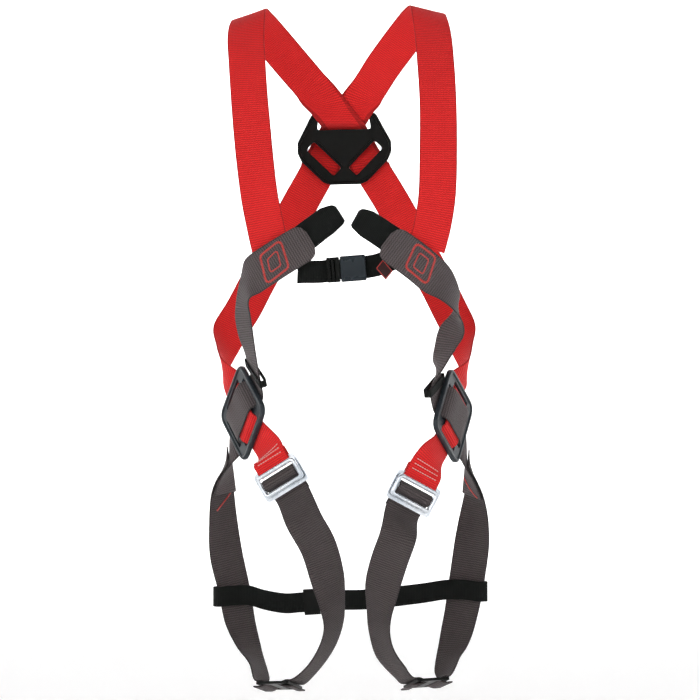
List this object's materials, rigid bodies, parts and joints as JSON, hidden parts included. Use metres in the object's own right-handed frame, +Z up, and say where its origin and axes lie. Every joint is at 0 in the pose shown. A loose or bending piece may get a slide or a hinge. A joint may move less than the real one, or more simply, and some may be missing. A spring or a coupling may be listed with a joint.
{
  "type": "safety_harness",
  "caption": "Full-body safety harness of red and grey webbing with a dorsal plate and ring, hip plates, steel thigh buckles, chest loops and a chest buckle.",
  "frame": {"origin": "midway between the tops of the two shoulder straps", "axes": "+Z up, -Y towards the wearer's front, +X towards the wearer's left"},
  "size_m": [0.3502, 0.2612, 0.8498],
  "materials": {
    "red_webbing": "woven, soft sheen",
    "grey_webbing": "woven, matt",
    "black_webbing": "woven, matt",
    "black_plastic": "moulded, fine grain",
    "slate_plastic": "moulded, satin",
    "zinc_steel": "zinc plated, satin",
    "label_cloth": "woven, matt"
  },
  "bodies": {
    "webbing": {"chest_socket": "slate_plastic", "dorsal_plate": "black_plastic", "left_chest_loop": "black_webbing", "left_chest_strap": "black_webbing", "left_front_leg_strap": "grey_webbing", "left_hip_keeper": "black_webbing", "left_hip_plate": "slate_plastic", "left_leg_adjuster": "black_plastic", "left_rear_leg_strap": "grey_webbing", "left_shoulder_strap": "red_webbing", "left_side_strap": "grey_webbing", "left_thigh_buckle_rear_frame": "zinc_steel", "leg_link_strap": "black_webbing", "right_chest_loop": "black_webbing", "right_front_leg_strap": "grey_webbing", "right_hip_keeper": "black_webbing", "right_hip_plate": "slate_plastic", "right_leg_adjuster": "black_plastic", "right_rear_leg_strap": "grey_webbing", "right_shoulder_strap": "red_webbing", "right_side_strap": "grey_webbing", "right_thigh_buckle_rear_frame": "zinc_steel", "size_tab": "label_cloth"},
    "ring": {"dorsal_ring": "zinc_steel"},
    "chest_release": {"chest_plug": "black_plastic", "right_chest_strap": "black_webbing"},
    "prong_up": {"chest_prong_upper": "slate_plastic"},
    "prong_down": {"chest_prong_lower": "slate_plastic"},
    "right_thigh_frame": {"right_thigh_buckle_front_frame": "zinc_steel"},
    "left_thigh_frame": {"left_thigh_buckle_front_frame": "zinc_steel"},
    "link_slide": {"link_slider": "black_plastic"}
  },
  "joints": [
    {"name": "ring_swing", "type": "hinge", "parent": "webbing", "child": "ring", "pos_m": [-0.002, 0.112, -0.157], "axis": [1, 0, 0], "range_deg": [0, 138]},
    {"name": "chest_release_slide", "type": "slide", "parent": "webbing", "child": "chest_release", "axis": [-0.9968, 0, -0.0802], "range_m": [0, 0.02]},
    {"name": "prong_upper_flex", "type": "hinge", "parent": "chest_release", "child": "prong_up", "pos_m": [-0.00391, -0.1, -0.32079], "axis": [0, 1, 0], "range_deg": [0, 10.1]},
    {"name": "prong_lower_flex", "type": "hinge", "parent": "chest_release", "child": "prong_down", "pos_m": [-0.0027, -0.1, -0.33574], "axis": [0, -1, 0], "range_deg": [0, 10.1]},
    {"name": "right_thigh_frame_tilt", "type": "hinge", "parent": "webbing", "child": "right_thigh_frame", "pos_m": [-0.08, -0.072, -0.579], "axis": [0.8278, -0.2156, 0.518], "range_deg": [0, 10]},
    {"name": "left_thigh_frame_tilt", "type": "hinge", "parent": "webbing", "child": "left_thigh_frame", "pos_m": [0.083, -0.072, -0.598], "axis": [0.8595, 0.1949, -0.4725], "range_deg": [0, 10]},
    {"name": "link_slider_slide", "type": "slide", "parent": "webbing", "child": "link_slide", "axis": [0.9877, -0.1373, 0.0748], "range_m": [-0.012, 0.015]}
  ],
  "couplings": [
    {"joint": "prong_upper_flex", "follows": "chest_release_slide", "rad_per_m": 8.7266},
    {"joint": "prong_lower_flex", "follows": "chest_release_slide", "rad_per_m": 8.7266}
  ]
}
